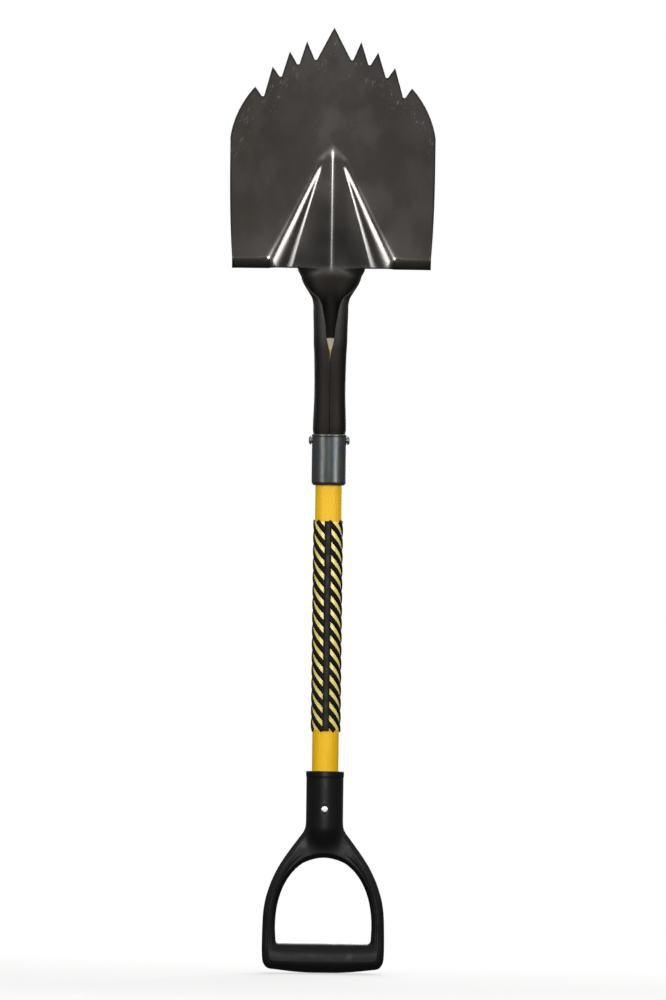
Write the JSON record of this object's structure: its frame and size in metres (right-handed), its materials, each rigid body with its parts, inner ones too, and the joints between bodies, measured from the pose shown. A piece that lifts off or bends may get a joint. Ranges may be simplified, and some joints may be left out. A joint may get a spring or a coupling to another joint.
{
  "type": "detecting shovel",
  "caption": "Serrated round-point digging shovel with an open-back socket, steel collar, fibreglass shaft, ribbed sleeve and D-grip.",
  "frame": {"origin": "middle of the flat land under the D-grip's bar, on the shaft's axis", "axes": "+Z along the shaft from the D-grip to the blade's tip, +Y towards the blade's concave digging face, +X across the blade"},
  "size_m": [0.2246, 0.0715, 1.0319],
  "materials": {
    "blade_steel": "thin dark lacquer over pressed steel, satin",
    "collar_zinc": "zinc plate, bright",
    "rivet_steel": "zinc plate",
    "shaft_fibreglass": "yellow pultruded fibreglass, glossy",
    "core_resin": "cream, matt",
    "sleeve_rubber": "black moulded ribs, satin",
    "grip_polymer": "black moulded polymer, fine texture",
    "rivet_aluminium": "bright"
  },
  "bodies": {
    "root": {"blade": "blade_steel", "socket_collar": "collar_zinc", "collar_rivet": "rivet_steel", "shaft": "shaft_fibreglass", "shaft_core": "core_resin", "shaft_plug": "core_resin", "grip_sleeve": "sleeve_rubber", "d_grip": "grip_polymer", "d_grip_rivet": "rivet_aluminium"}
  },
  "joints": []
}
